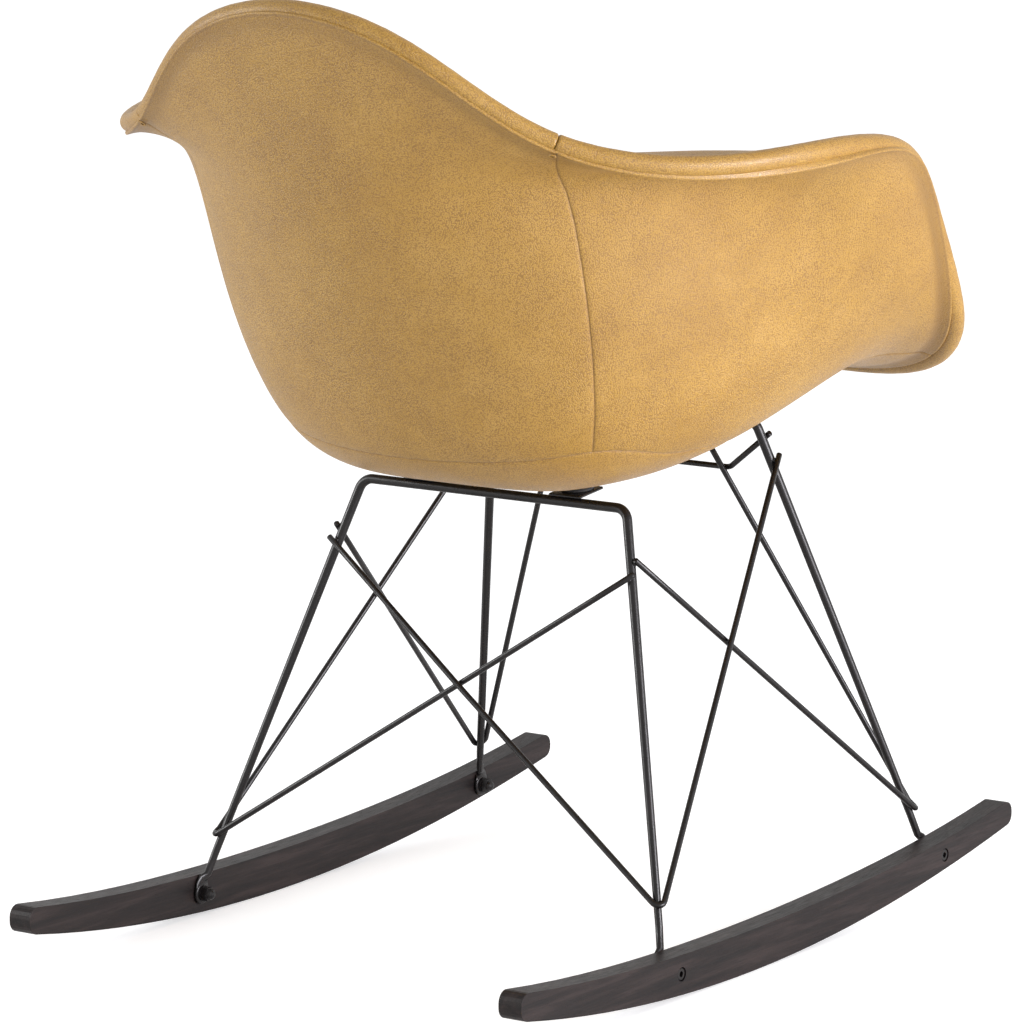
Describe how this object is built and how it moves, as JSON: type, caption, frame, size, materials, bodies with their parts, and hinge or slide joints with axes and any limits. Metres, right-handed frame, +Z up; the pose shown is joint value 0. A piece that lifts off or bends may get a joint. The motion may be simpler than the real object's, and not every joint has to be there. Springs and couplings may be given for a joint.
{
  "type": "rocking chair",
  "caption": "Rocking armchair with a leather-covered bucket seat on a braced black rod base with dark wooden rockers.",
  "frame": {"origin": "on the floor, midway between the rockers, under the middle of the rockers' length", "axes": "+Z up; the sitter faces -Y; +X is the sitter's left"},
  "size_m": [0.6132, 0.6774, 0.7205],
  "materials": {
    "black_steel": "satin",
    "dark_wood": "satin",
    "black_rubber": "matte",
    "moulded_shell": "matte",
    "tan_leather": "satin",
    "tan_leather_inner": "satin",
    "tan_leather_rim": "satin"
  },
  "bodies": {
    "root": {"rear_leg_frame": "black_steel", "front_leg_frame": "black_steel", "front_crossbar": "black_steel", "rear_brace_left": "black_steel", "rear_brace_right": "black_steel", "front_brace_left": "black_steel", "front_brace_right": "black_steel", "rocker_left": "dark_wood", "rocker_right": "dark_wood", "rocker_bolt_rear_left": "black_steel", "rocker_bolt_rear_right": "black_steel", "rocker_bolt_front_left": "black_steel", "rocker_bolt_front_right": "black_steel", "rocker_washer_rear_left": "black_steel", "rocker_washer_rear_right": "black_steel", "rocker_washer_front_left": "black_steel", "rocker_washer_front_right": "black_steel", "rocker_nut_rear_left": "black_steel", "rocker_nut_rear_right": "black_steel", "rocker_nut_front_left": "black_steel", "rocker_nut_front_right": "black_steel", "seat_plate_rear_left": "black_steel", "seat_plate_rear_right": "black_steel", "seat_plate_front_left": "black_steel", "seat_plate_front_right": "black_steel", "seat_mount_rear_left": "black_rubber", "seat_mount_rear_right": "black_rubber", "seat_mount_front_left": "black_rubber", "seat_mount_front_right": "black_rubber", "seat_screw_rear_left": "black_steel", "seat_screw_rear_right": "black_steel", "seat_screw_front_left": "black_steel", "seat_screw_front_right": "black_steel", "shell_core": "moulded_shell", "seat_cover": "tan_leather_inner", "leather_base": "tan_leather", "leather_back": "tan_leather", "leather_side_left": "tan_leather", "leather_side_right": "tan_leather", "leather_front": "tan_leather", "rim_back": "tan_leather_rim", "rim_arms": "tan_leather_rim"}
  },
  "joints": []
}
